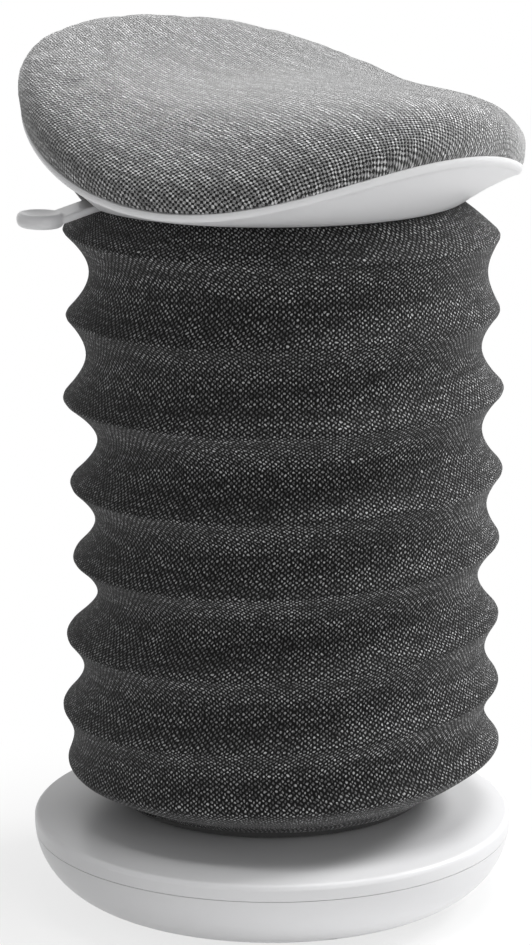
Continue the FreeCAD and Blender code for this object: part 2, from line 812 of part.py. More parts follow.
def sleeve_ring(radius, height, middle_of_rib, shift):
    """One circle of the sleeve, tipped about its rib's own centre."""
    tipping = sleeve_tip(middle_of_rib) if shift else 0.0
    axis = sleeve_axis(height, tipping)
    centre = shift_way * (sleeve_shift * shift) + UP * height
    circle = Part.Circle(centre, axis, radius)
    start = Vector(1, 0, 0) - axis * axis.x
    circle.XAxis = start.normalize()
    return Part.Wire(circle.toShape())


def sleeve_outline(inset):
    """Circles from the lower ring to the upper ring, inset from the outside of the fabric."""
    lower = lower_ring_radius + fabric_gap + sleeve_wall
    circles = [(lower, sleeve_bottom, sleeve_bottom, 0.0), (hem_radius, hem_height, hem_height, 1.0)]
    for index, height in enumerate(hoop_heights):
        circles.append((crest_radius, height - crest_half_band, height, 1.0))
        circles.append((crest_radius, height + crest_half_band, height, 1.0))
        if index + 1 < hoop_count:
            valley = (height + hoop_heights[index + 1]) / 2
            circles.append((crest_radius - valley_depth, valley - valley_half_band, valley, 1.0))
            circles.append((crest_radius - valley_depth, valley + valley_half_band, valley, 1.0))
    circles.append((sleeve_top_radius, sleeve_top, sleeve_top, 0.0))
    return [sleeve_ring(radius - inset, height, middle, shift) for radius, height, middle, shift in circles]


def sleeve():
    outside = Part.makeLoft(sleeve_outline(0.0), True, True)
    inside = Part.makeLoft(sleeve_outline(sleeve_wall), True, True)
    return outside.cut(inside)


def hoop(height):
    axis = sleeve_axis(height, sleeve_tip(height))
    centre = shift_way * sleeve_shift + UP * height
    radius = crest_radius - sleeve_wall - hoop_inset - hoop_wire_radius
    return Part.makeTorus(radius, hoop_wire_radius, centre, axis)


def sleeve_lower_ring():
    top = lower_ring_bottom + lower_ring_height
    body = ring(lower_ring_radius, rail_radius + rail_lip + fabric_gap, lower_ring_bottom, top)
    catch_top = rail_top - rail_lip_height - fabric_gap
    catch = ring(lower_ring_radius, rail_radius + running_gap, lower_ring_bottom, catch_top)
    return joined(body, catch)


def sleeve_upper_ring():
    bore = upper_ring_radius - upper_ring_width
    band = ring(upper_ring_radius, bore, shell_screw_face, shell_floor_height)
    return band.cut(shafts(shell_screw_places, shell_screw_radius, 0, shell_floor_height + 1))


pieces = {
    "base_sole": base_sole(),
    "base_shell": base_shell(),
    "base_cover": base_cover(),
    "base_screws": screws(base_screw_places, base_screw_radius, base_screw_head_radius,
                          base_screw_head_height, base_head_face, base_screw_length),
    "ballast": ballast(),
    "column_socket": column_socket(),
    "flange_bolts": flange_bolts(),
    "column_tube": column_tube(),
    "guide_bush": guide_bush(),
    "thrust_washer_lower": thrust_washer_lower(),
    "thrust_balls": thrust_balls(),
    "thrust_washer_upper": thrust_washer_upper(),
    "piston_rod": piston_rod(),
    "piston": piston(),
    "rod_clip": rod_clip(),
    "bump_stop": bump_stop(),
    "gas_cylinder": gas_cylinder(),
    "rod_guide": rod_guide(),
    "release_pin": release_pin(),
    "cone_hub": cone_hub(),
    "seat_plate": seat_plate(),
    "plate_screws": screws(plate_screw_places, plate_screw_radius, plate_screw_head_radius,
                           plate_screw_head_height, column_top, plate_screw_length),
    "lever_bracket": lever_bracket(),
    "lever_axle": lever_axle(),
    "lever_arm": lever_arm(),
    "lever_handle": lever_handle(),
    "seat_shell": seat_shell(),
    "shell_screws": screws(shell_screw_places, shell_screw_radius, shell_screw_head_radius,
                           shell_screw_head_height, shell_screw_face, shell_screw_length),
    "seat_board": seat_board(),
    "seat_foam": seat_foam(),
    "seat_cover": seat_cover(),
    "sleeve_upper_ring": sleeve_upper_ring(),
    "sleeve_lower_ring": sleeve_lower_ring(),
    "sleeve": sleeve(),
}
for number, height in enumerate(hoop_heights, start=1):
    pieces["sleeve_hoop_%d" % number] = hoop(height)

os.makedirs("parts", exist_ok=True)
for name, shape in pieces.items():
    shape.exportStep("parts/%s.step" % name)
    print("%-20s solids %2d volume %10.0f" % (name, len(shape.Solids), shape.Volume), shape.isValid())
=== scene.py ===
import json
import math

import bmesh
import bpy
from bpy.props import FloatProperty, FloatVectorProperty, IntProperty, PointerProperty
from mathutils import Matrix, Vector


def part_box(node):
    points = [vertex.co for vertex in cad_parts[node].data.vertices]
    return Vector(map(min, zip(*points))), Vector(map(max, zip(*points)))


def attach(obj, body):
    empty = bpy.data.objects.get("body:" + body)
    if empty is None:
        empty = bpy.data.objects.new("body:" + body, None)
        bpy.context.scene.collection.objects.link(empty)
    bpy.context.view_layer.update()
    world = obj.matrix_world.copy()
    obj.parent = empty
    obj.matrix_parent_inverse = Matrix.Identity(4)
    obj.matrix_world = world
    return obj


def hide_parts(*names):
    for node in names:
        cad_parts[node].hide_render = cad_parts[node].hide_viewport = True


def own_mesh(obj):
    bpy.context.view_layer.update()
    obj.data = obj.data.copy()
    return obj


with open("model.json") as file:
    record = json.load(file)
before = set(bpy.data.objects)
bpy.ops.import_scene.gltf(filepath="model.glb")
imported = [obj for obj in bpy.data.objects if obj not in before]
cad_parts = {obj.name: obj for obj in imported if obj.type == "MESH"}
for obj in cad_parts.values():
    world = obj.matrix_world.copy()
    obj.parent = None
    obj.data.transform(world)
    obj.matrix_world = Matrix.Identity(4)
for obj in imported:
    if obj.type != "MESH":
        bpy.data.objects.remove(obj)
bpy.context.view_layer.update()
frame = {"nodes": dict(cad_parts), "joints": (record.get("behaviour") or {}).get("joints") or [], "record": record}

bl_info = {
    "name": "Wobble stool",
    "version": (1, 0, 0),
    "blender": (4, 5, 0),
    "location": "3D View > Sidebar > Wobble stool",
    "description": "Dresses the packed model of a height-adjustable wobble stool",
    "category": "Object",
}


def middle_of(node):
    low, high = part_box(node)
    return (low + high) / 2


def hoop_names():
    return sorted(name for name in frame["nodes"] if name.startswith("sleeve_hoop_"))


SHELL_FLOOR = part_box("seat_shell")[0].z
RIM_POINTS = 64  # vertices round the seat's rim


class SeatSizes(bpy.types.PropertyGroup):
    front: FloatProperty(name="Front", description="Rim in front of the column's axis",
                         default=0.1656, unit="LENGTH")
    back: FloatProperty(name="Back", description="Rim behind the column's axis",
                        default=0.1602, unit="LENGTH")
    half_width: FloatProperty(name="Half width", description="Rim at the side of the column's axis",
                              default=0.1808, unit="LENGTH")
    side_height: FloatProperty(name="Side height",
                               description="Rim beside the column's axis, above the floor",
                               default=SHELL_FLOOR + 0.0257, unit="LENGTH")
    front_height: FloatProperty(name="Front height", description="Rim in front, above the floor",
                                default=SHELL_FLOOR + 0.0434, unit="LENGTH")
    back_height: FloatProperty(name="Back height", description="Rim behind, above the floor",
                               default=SHELL_FLOOR + 0.0888, unit="LENGTH")
    middle_height: FloatProperty(name="Middle height",
                                 description="Cushion's underside over the column",
                                 default=SHELL_FLOOR + 0.0337, unit="LENGTH")
    twist: FloatProperty(name="Twist", description="Fore and aft slope of the rim at its sides",
                         default=-0.0491, unit="LENGTH")
    thickness: FloatProperty(name="Cushion thickness", description="From its underside to its crown",
                             default=0.0468, unit="LENGTH")
    squareness: FloatProperty(name="Squareness",
                              description="2 is an ellipse in section, higher is boxier",
                              default=3.64)
    bulge: FloatProperty(name="Bulge", description="How far the cushion's side stands out past its rim",
                         default=0.0062, unit="LENGTH")
    swell: FloatProperty(name="Swell", description="Most that the pressed foam may push the cover out",
                         default=0.002, unit="LENGTH")
    tuck: FloatProperty(name="Tuck", description="How far the cover turns in below the shell's lip",
                        default=0.0032, unit="LENGTH")
    lip: FloatProperty(name="Lip", description="Height of the rounded lip of the under-shell",
                       default=0.0070, unit="LENGTH")
    lip_depth: FloatProperty(name="Lip depth", description="How far the lip rounds in below its rim",
                             default=0.0050, unit="LENGTH")
    floor_radius: FloatProperty(name="Floor radius", description="Flat under the under-shell",
                                default=0.131, unit="LENGTH")
    wall: FloatProperty(name="Wall", description="Thickness of the under-shell", default=0.0035,
                        unit="LENGTH")


def per_rib(name, description, values, **kind):
    """One value for each rib, or for each valley between two, from the bottom."""
    return FloatVectorProperty(name=name, description=description, size=len(values), default=values,
                               **(kind or {"unit": "LENGTH"}))


class SleeveSizes(bpy.types.PropertyGroup):
    crests: per_rib("Crests", "Radius of each rib's crest",
                    (0.1535, 0.1555, 0.1535, 0.1510, 0.1525, 0.1545, 0.1510, 0.1515))
    lifts: per_rib("Lifts", "How far each crest sits above the middle of its hoop",
                   (0.0015, 0.0025, 0.0025, 0.0040, 0.0, 0.0025, 0.0030, 0.0025))
    shifts: per_rib("Shifts", "How far each rib stands off the column's axis",
                    (0.0080, 0.0060, 0.0070, 0.0095, 0.0100, 0.0075, 0.0070, 0.0060))
    tips: per_rib("Tips", "How far each rib tips",
                  tuple(math.radians(tip) for tip in (2.7, 3.7, 3.0, 2.7, 2.1, 1.3, 0.6, -0.8)),
                  unit="ROTATION")
    valleys: per_rib("Valleys", "How deep each valley lies inside the line of its two ribs",
                     (0.0090, 0.0130, 0.0190, 0.0145, 0.0200, 0.0160, 0.0140))
    valley_shifts: per_rib("Valley shifts", "How far each valley stands off the line of its two ribs",
                           (-0.0025, 0.0020, 0.0025, 0.0035, 0.0035, 0.0005, 0.0045))
    valley_shape: FloatProperty(name="Valley shape", description="2 is a round arc, lower is sharper",
                                default=1.81)
    hem_radius: FloatProperty(name="Hem radius",
                              description="Where the fabric turns in over its lower ring",
                              default=0.119, unit="LENGTH")
    hem_height: FloatProperty(name="Hem height",
                              description="Where the fabric turns in, above the floor",
                              default=0.085, unit="LENGTH")
    hem_shift: FloatProperty(name="Hem shift",
                             description="How much further the hem stands off than its rib",
                             default=0.004, unit="LENGTH")
    cloth: FloatProperty(name="Cloth thickness", description="Thickness of the knit", default=0.0018,
                         unit="LENGTH")
    heading: FloatProperty(name="Heading", description="Direction of the shifts, from the seat's front",
                           default=math.radians(43.6), unit="ROTATION")
    hoop_wire: FloatProperty(name="Hoop wire", description="Radius of the hoops' wire", default=0.0022,
                             unit="LENGTH")
    hoop_gap: FloatProperty(name="Hoop gap",
                            description="From the inside of the knit to the hoop's wire",
                            default=0.0085, unit="LENGTH")


class LeverSizes(bpy.types.PropertyGroup):
    heading: FloatProperty(name="Heading", description="Direction of the lever, from the seat's front",
                           default=math.radians(-114.4), unit="ROTATION")
    blade_width: FloatProperty(name="Blade width", description="Flat arm that leaves the under-shell",
                               default=0.028, unit="LENGTH")
    blade_thickness: FloatProperty(name="Blade thickness", description="The same arm's thickness",
                                   default=0.005, unit="LENGTH")
    exit_reach: FloatProperty(name="Exit reach", description="Where the blade leaves the under-shell",
                              default=0.128, unit="LENGTH")
    exit_height: FloatProperty(name="Exit height", description="Middle of the blade there",
                               default=SHELL_FLOOR + 0.0035, unit="LENGTH")
    paddle_reach: FloatProperty(name="Paddle reach", description="Middle of the paddle", default=0.1675,
                                unit="LENGTH")
    paddle_height: FloatProperty(name="Paddle height", description="Underside of the paddle",
                                 default=SHELL_FLOOR - 0.0102, unit="LENGTH")
    paddle_length: FloatProperty(name="Paddle length", description="Along the lever", default=0.0315,
                                 unit="LENGTH")
    paddle_width: FloatProperty(name="Paddle width", description="Across the lever", default=0.038,
                                unit="LENGTH")
    paddle_thickness: FloatProperty(name="Paddle thickness", description="Over its thick rim",
                                    default=0.0102, unit="LENGTH")
    slot_width: FloatProperty(name="Slot width", description="Slot in the under-shell", default=0.034,
                              unit="LENGTH")


class Finishes(bpy.types.PropertyGroup):
    plastic: FloatVectorProperty(name="White plastic", description="Shells and lever", subtype="COLOR",
                                 size=3, default=(0.80, 0.80, 0.81))
    seat_yarn: FloatVectorProperty(name="Seat yarn", description="Light stitches of the seat",
                                   subtype="COLOR", size=3, default=(0.90, 0.90, 0.91))
    sleeve_yarn: FloatVectorProperty(name="Sleeve yarn", description="Light stitches of the sleeve",
                                     subtype="COLOR", size=3, default=(0.62, 0.62, 0.63))
    ground: FloatVectorProperty(name="Dark yarn", description="Ground of the knit", subtype="COLOR",
                                size=3, default=(0.006, 0.006, 0.006))
    seat_stitch: FloatVectorProperty(name="Seat stitch",
                                     description="From stitch to stitch, across and along",
                                     size=2, unit="LENGTH", default=(0.0030, 0.0029))
    sleeve_stitch: FloatVectorProperty(name="Sleeve stitch",
                                       description="From stitch to stitch, across and along",
                                       size=2, unit="LENGTH", default=(0.0044, 0.00365))


class StageSizes(bpy.types.PropertyGroup):
    camera_place: FloatVectorProperty(name="Camera", description="Place of the camera", subtype="XYZ",
                                      size=3, unit="LENGTH", default=(1.5830, -1.6686, 0.841))
    camera_down: FloatProperty(name="Camera pitch", description="How far the camera looks down",
                               default=math.radians(13.1), unit="ROTATION")
    camera_turn: FloatProperty(name="Camera heading",
                               description="Turn of its view from the +Y direction",
                               default=math.radians(43.6), unit="ROTATION")
    lens: FloatProperty(name="Lens", description="Focal length in millimetres on a 36 mm frame",
                        default=128.57)
    sky: FloatProperty(name="Sky", description="Even light from all round", default=0.26)
    floor: FloatVectorProperty(name="Floor", description="Pale floor and backdrop", subtype="COLOR",
                               size=3, default=(0.92, 0.92, 0.92))


class StoolSettings(bpy.types.PropertyGroup):
    seat: PointerProperty(name="Seat", description="Cushion and under-shell", type=SeatSizes)
    sleeve: PointerProperty(name="Sleeve", description="Knit sleeve and its hoops", type=SleeveSizes)
    lever: PointerProperty(name="Lever", description="Release lever and its slot", type=LeverSizes)
    finishes: PointerProperty(name="Finishes", description="Colours and stitches", type=Finishes)
    stage: PointerProperty(name="Stage", description="Camera, light and floor", type=StageSizes)


def settings():
    return bpy.context.scene.wobble_stool


# Materials

class Wire:
    """A socket of a material, which can be used in sums."""

    def __init__(self, finish, socket):
        self.finish = finish
        self.socket = socket

    def sum_with(self, operation, *others):
        node = self.finish.add("ShaderNodeMath", {"operation": operation}, dict(enumerate(others)))
        return Wire(self.finish, node.outputs[0])

    def __add__(self, other):
        return self.sum_with("ADD", self, other)

    def __radd__(self, other):
        return self.sum_with("ADD", other, self)

    def __sub__(self, other):
        return self.sum_with("SUBTRACT", self, other)

    def __rsub__(self, other):
        return self.sum_with("SUBTRACT", other, self)

    def __mul__(self, other):
        return self.sum_with("MULTIPLY", self, other)

    def __rmul__(self, other):
        return self.sum_with("MULTIPLY", other, self)

    def cosine(self):
        return self.sum_with("COSINE", self)

    def or_else(self, other):
        return self.sum_with("MAXIMUM", self, other)

    def stepped(self, low, high, start=0.0, end=1.0):
        """Eased from start to end as this goes from low to high."""
        node = self.finish.add("ShaderNodeMapRange", {"interpolation_type": "SMOOTHSTEP"},
                               {"Value": self, "From Min": low, "From Max": high,
                                "To Min": start, "To Max": end})
        return Wire(self.finish, node.outputs["Result"])


class Nodes:
    """The nodes of one material or of the world."""

    def __init__(self, owner):
        owner.use_nodes = True
        self.tree = owner.node_tree
        self.tree.nodes.clear()

    def add(self, kind, options, inputs):
        node = self.tree.nodes.new(kind)
        for name, value in options.items():
            setattr(node, name, value)
        for name, value in inputs.items():
            self.feed(node.inputs[name], value)
        return node

    def feed(self, socket, value):
        if isinstance(value, Wire):
            self.tree.links.new(value.socket, socket)
        elif socket.type == "RGBA":
            socket.default_value = (*value, 1.0)
        else:
            socket.default_value = value

    def wire(self, kind, options, inputs, output=0):
        return Wire(self, self.add(kind, options, inputs).outputs[output])

    def seen_white(self):
        """1 for what the camera sees, straight, in a reflection or through glass, and 0 for light."""
        rays = self.add("ShaderNodeLightPath", {}, {})
        camera, glossy, through = (Wire(self, rays.outputs[name]) for name in
                                   ("Is Camera Ray", "Is Glossy Ray", "Is Transmission Ray"))
        return camera.or_else(glossy).or_else(through)


class Finish(Nodes):
    """One material."""

    def __init__(self, name, **shader):
        self.material = bpy.data.materials.new(name)
        super().__init__(self.material)
        values = {key.replace("_", " ").title().replace("Ior", "IOR"): value
                  for key, value in shader.items()}
        self.shader = self.add("ShaderNodeBsdfPrincipled", {}, values)
        surface = Wire(self, self.shader.outputs[0])
        self.out = self.add("ShaderNodeOutputMaterial", {}, {"Surface": surface})

    def coat(self, **inputs):
        for name, value in inputs.items():
            self.feed(self.shader.inputs[name.replace("_", " ").title()], value)

    def place(self):
        return self.wire("ShaderNodeTexCoord", {}, {}, "Object")

    def cloth_place(self):
        """Across and along the cloth in metres, from the piece's own map."""
        spot = self.wire("ShaderNodeUVMap", {"uv_map": "Cloth"}, {}, "UV")
        split = self.add("ShaderNodeSeparateXYZ", {}, {"Vector": spot})
        return Wire(self, split.outputs["X"]), Wire(self, split.outputs["Y"])

    def joined(self, x, y):
        return self.wire("ShaderNodeCombineXYZ", {}, {"X": x, "Y": y}, "Vector")

    def noise(self, vector, scale, detail=2.0, rough=0.5):
        return self.wire("ShaderNodeTexNoise", {}, {"Vector": vector, "Scale": scale, "Detail": detail,
                                                    "Roughness": rough}, "Fac")

    def mix(self, factor, first, second):
        """Mixes two colours, whose sockets stand behind those for numbers and vectors."""
        return self.wire("ShaderNodeMix", {"data_type": "RGBA"}, {0: factor, 6: first, 7: second}, 2)

    def relief(self, height, depth, strength=1.0):
        self.coat(normal=self.wire("ShaderNodeBump", {}, {"Height": height, "Distance": depth,
                                                          "Strength": strength}, "Normal"))


def shade(colour, share):
    """The colour, darker or lighter."""
    return tuple(channel * share for channel in colour)


def knit(name, yarn, pitch, staggered, sheen, dim, cover):
    """Dark knit with light stitches that stand out of it, streaked along its courses.

    Pitch is from stitch to stitch, across and along. Dim is the share of the yarn's colour that its
    darkest streaks keep, and cover tells how much of the ground the stitches hide.
    """
    finish = Finish(name, roughness=0.9, specular_ior_level=0.2, sheen_weight=sheen,
                    sheen_roughness=0.45)
    across, along = finish.cloth_place()
    weave = finish.joined(across, along)
    unevenness = 0.8
    wander = finish.noise(weave, 240.0, 1.0) - 0.5
    drift = finish.noise(finish.joined(along, across), 150.0, 1.0) - 0.5
    across_turn = 2 * math.pi / pitch[0]
    along_turn = 2 * math.pi / pitch[1]
    u = (across + wander * (unevenness * pitch[0])) * across_turn
    v = (along + drift * (unevenness * pitch[1])) * along_turn
    if staggered:
        waves = ((u + v).cosine() + (u - v).cosine()) * 0.5 + (u * 2.0).cosine() * 0.35
    else:
        waves = ((u - v * 0.55).cosine() + (v + u * 0.25).cosine()) * 0.55
    stitch = waves.stepped(*cover)
    streak = finish.noise(finish.joined(across * 55.0, along * 430.0), 1.0, 2.0)
    band = finish.noise(finish.joined(across * 9.0, along * 110.0), 1.0, 2.0)
    strand = finish.noise(weave, 420.0, 1.0)
    light = (streak.stepped(0.36, 0.64, 0.22, 1.0) * band.stepped(0.35, 0.65, 0.55, 1.1)
             * strand.stepped(0.35, 0.65, 0.3, 1.3))
    thread = finish.mix(light, shade(yarn, dim), yarn)
    finish.coat(base_color=finish.mix(stitch, settings().finishes.ground, thread))
    finish.relief(stitch + strand * 0.2, 0.0016)
    return finish.material


def white_plastic(name, roughness=0.34):
    """Smooth moulded plastic, with a faint orange-peel and the slightest unevenness of colour."""
    finish = Finish(name, specular_ior_level=0.45)
    place = finish.place()
    cloud = finish.noise(place, 9.0, 3.0)
    peel = finish.noise(place, 420.0, 2.0)
    colour = settings().finishes.plastic
    finish.coat(base_color=finish.mix(cloud, shade(colour, 0.97), shade(colour, 1.03)),
                roughness=cloud.stepped(0.2, 0.8, roughness - 0.04, roughness + 0.05))
    finish.relief(peel, 0.00006, 0.35)
    return finish.material


def moulded(name, colour, roughness):
    """Rubber, foam or dark plastic with a fine grain."""
    finish = Finish(name, roughness=roughness, specular_ior_level=0.35)
    place = finish.place()
    grain = finish.noise(place, 900.0, 2.0)
    cloud = finish.noise(place, 14.0, 3.0)
    finish.coat(base_color=finish.mix(cloud, shade(colour, 0.8), shade(colour, 1.2)))
    finish.relief(grain, 0.0002, 0.5)
    return finish.material


def metal(name, colour, roughness, grain_scale, depth):
    """Bare metal, with a grain of that scale and depth."""
    finish = Finish(name, metallic=1.0)
    place = finish.place()
    grain = finish.noise(place, grain_scale, 3.0)
    cloud = finish.noise(place, 22.0, 3.0)
    finish.coat(base_color=finish.mix(cloud, shade(colour, 0.85), shade(colour, 1.1)),
                roughness=grain.stepped(0.2, 0.8, roughness * 0.8, roughness * 1.25))
    finish.relief(grain, depth, 0.4)
    return finish.material


def plywood(name):
    """Pale wood with its grain along the seat."""
    finish = Finish(name, roughness=0.6)
    along_grain = finish.wire("ShaderNodeMapping", {},
                              {"Vector": finish.place(), "Scale": (6.0, 90.0, 30.0)}, "Vector")
    grain = finish.noise(along_grain, 3.0, 4.0, 0.6)
    finish.coat(base_color=finish.mix(grain.stepped(0.3, 0.7), (0.50, 0.34, 0.19), (0.68, 0.50, 0.31)))
    finish.relief(grain, 0.0003, 0.4)
    return finish.material


# Making meshes

def start_piece(name):
    """The new primitive, named and in edit mode."""
    piece = bpy.context.object
    piece.name = name
    piece.data.name = name
    bpy.ops.object.mode_set(mode="EDIT")
    return piece


def clear_selection():
    bpy.ops.object.select_all(action="DESELECT")


def select_only(*pieces):
    """Selects these pieces, and makes the last one active."""
    clear_selection()
    for piece in pieces:
        piece.select_set(True)
    bpy.context.view_layer.objects.active = pieces[-1]


def enter_edit():
    """Edits the active piece, with all of it selected."""
    bpy.ops.object.mode_set(mode="EDIT")
    bpy.ops.mesh.select_all(action="SELECT")


def leave_edit():
    bpy.ops.object.mode_set(mode="OBJECT")


def block(name, reach, height, size):
    """A box along +X at a reach, which is shaped further or used to cut."""
    clear_selection()
    bpy.ops.mesh.primitive_cube_add(size=1.0)
    piece = start_piece(name)
    bpy.ops.transform.resize(value=size, center_override=(0, 0, 0))
    bpy.ops.transform.translate(value=(reach, 0, height))
    leave_edit()
    return piece


def pick(piece, wanted):
    """Selects, in edit mode, the vertices whose place is wanted."""
    bpy.ops.mesh.select_all(action="DESELECT")
    mesh = bmesh.from_edit_mesh(piece.data)
    for vertex in mesh.verts:
        vertex.select_set(bool(wanted(vertex.co)))
    mesh.select_flush_mode()
    bmesh.update_edit_mesh(piece.data)


def pick_numbers(piece, numbers):
    """Selects, in edit mode, the vertices of these numbers."""
    bpy.ops.mesh.select_all(action="DESELECT")
    mesh = bmesh.from_edit_mesh(piece.data)
    mesh.verts.ensure_lookup_table()
    for number in numbers:
        mesh.verts[number].select_set(True)
    mesh.select_flush_mode()
    bmesh.update_edit_mesh(piece.data)


def next_ring(grow, lift):
    """Extrudes the selected ring, scales it about the axis and lifts it."""
    bpy.ops.mesh.extrude_edges_move(TRANSFORM_OT_translate={"value": (0, 0, lift)})
    bpy.ops.transform.resize(value=(grow, grow, 1), center_override=(0, 0, 0))


def outward():
    """Closes, in edit mode, the seams and turns all faces outwards."""
    bpy.ops.mesh.select_all(action="SELECT")
    bpy.ops.mesh.remove_doubles(threshold=0.00001)
    bpy.ops.mesh.normals_make_consistent(inside=False)


def applied(piece, kind, **options):
    """Adds a modifier and applies it."""
    modifier = piece.modifiers.new(kind.title(), kind)
    for name, value in options.items():
        setattr(modifier, name, value)
    bpy.context.view_layer.objects.active = piece
    bpy.ops.object.modifier_apply(modifier=modifier.name)


def turned(piece, heading):
    """Turns the piece about the column's axis, its mesh with it."""
    piece.rotation_euler = (0, 0, heading)
    select_only(piece)
    bpy.ops.object.transform_apply(rotation=True)


def smoothed(piece, degrees):
    """Shades the piece smooth, except over edges sharper than this."""
    select_only(piece)
    bpy.ops.object.shade_smooth_by_angle(angle=math.radians(degrees))


def raised_by(piece, height_at):
    """Lifts each vertex by height_at its place, through a weight group and a Displace modifier."""
    heights = [height_at(vertex.co) for vertex in piece.data.vertices]
    most = max(heights)
    group = piece.vertex_groups.new(name="Lift")
    for number, height in enumerate(heights):
        group.add([number], height / most, "REPLACE")
    applied(piece, "DISPLACE", direction="Z", space="LOCAL", mid_level=0.0, strength=most,
            vertex_group="Lift")
    piece.vertex_groups.clear()


def map_cloth(piece, place_of):
    """Gives the piece a map, in metres, of where each corner lies on its flat cloth."""
    layer = piece.data.uv_layers.get("Cloth") or piece.data.uv_layers.new(name="Cloth")
    for face in piece.data.polygons:
        for corner in face.loop_indices:
            vertex = piece.data.vertices[piece.data.loops[corner].vertex_index]
            layer.data[corner].uv = place_of(vertex, face.center)


def finish_piece(piece, body, slot, material, *nodes):
    """Gives the piece its material, hangs it under its body's empty, and hides the nodes it stands for."""
    piece.data.materials.clear()
    piece.data.materials.append(material)
    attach(piece, body)
    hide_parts(*nodes)


# Seat

def rim_share(x):
    """Place along the seat, from -1 at its back to 1 at its front."""
    sizes = settings().seat
    return x / (sizes.front if x > 0 else sizes.back)


def rim_height(share):
    """Height of the rim there: a cubic through back, side and front."""
    sizes = settings().seat
    curve = (sizes.front_height + sizes.back_height) / 2 - sizes.side_height
    cubic = (sizes.front_height - sizes.back_height) / 2 - sizes.twist
    return sizes.side_height + sizes.twist * share + curve * share ** 2 + cubic * share ** 3


def saddle_height(x, y):
    """Height of the cushion's underside, a round arc across the seat at each x."""
    sizes = settings().seat
    end = 0.995  # short of the tips, where the arc would have no width
    share = max(-end, min(end, rim_share(x)))
    tip = sizes.front_height if x > 0 else sizes.back_height
    middle = sizes.middle_height + (tip - sizes.middle_height) * share ** 2
    half = sizes.half_width * math.sqrt(1 - share ** 2)
    rise = rim_height(share) - middle
    bend = 2 * rise / (half ** 2 + rise ** 2)
    side = min(abs(y), half * 1.03)
    return middle + bend * side ** 2 / (1 + math.sqrt(1 - (bend * side) ** 2))


def make_oval(piece):
    """Stretches a round piece of radius 1 into the seat's oval."""
    sizes = settings().seat
    bpy.ops.mesh.select_all(action="SELECT")
    bpy.ops.transform.resize(value=(sizes.front, sizes.half_width, 1), center_override=(0, 0, 0))
    pick(piece, lambda place: place.x < 0)
    bpy.ops.transform.resize(value=(sizes.back / sizes.front, 1, 1), center_override=(0, 0, 0))


def cushion_rings():
    """Size and rise of the rings of the cushion's section, from its tucked edge to its crown."""
    sizes = settings().seat
    edge = sizes.half_width
    # How far in from the rim, and by what part of the tuck below it
    tucked_in = ((0.0035, 1.0), (0.0016, 0.6), (0.0004, 0.0))
    rings = [(1 - inward / edge, -part * sizes.tuck) for inward, part in tucked_in]
    for share in (0.07, 0.18, 0.32, 0.46, 0.58, 0.68, 0.77, 0.85, 0.91, 0.955, 0.982, 0.996):
        size = (1 - share ** sizes.squareness) ** (1 / sizes.squareness)
        bulge = sizes.bulge * 4 * share * (1 - share) * size ** 6
        rings.append((size + bulge / edge, sizes.thickness * share))
    return rings + [(0.30, sizes.thickness * 0.999), (0.14, sizes.thickness)]


def pressed_out(piece, most):
    """Lets the foam press the cover out, no point by more than most. The underside stays."""
    frames = 20
    pressure = 4.0
    underside = 0.0005  # a vertex less than this above the underside belongs to it
    group = piece.vertex_groups.new(name="Held")
    for vertex in piece.data.vertices:
        if vertex.co.z < saddle_height(vertex.co.x, vertex.co.y) + underside:
            group.add([vertex.index], 1.0, "REPLACE")
    before = [vertex.co.copy() for vertex in piece.data.vertices]
    cloth = piece.modifiers.new("Cover", "CLOTH")
    cloth.settings.vertex_group_mass = "Held"
    cloth.settings.use_pressure = True
    cloth.settings.uniform_pressure_force = pressure
    cloth.settings.effector_weights.gravity = 0.0
    cloth.point_cache.frame_end = frames
    for frame_number in range(1, frames + 1):
        bpy.context.scene.frame_set(frame_number)
    bpy.context.view_layer.objects.active = piece
    bpy.ops.object.modifier_apply(modifier=cloth.name)
    bpy.context.scene.frame_set(1)
    for vertex, place in zip(piece.data.vertices, before):
        move = vertex.co - place
        if move.length > most:
            vertex.co = place + move * (most / move.length)
    piece.vertex_groups.clear()


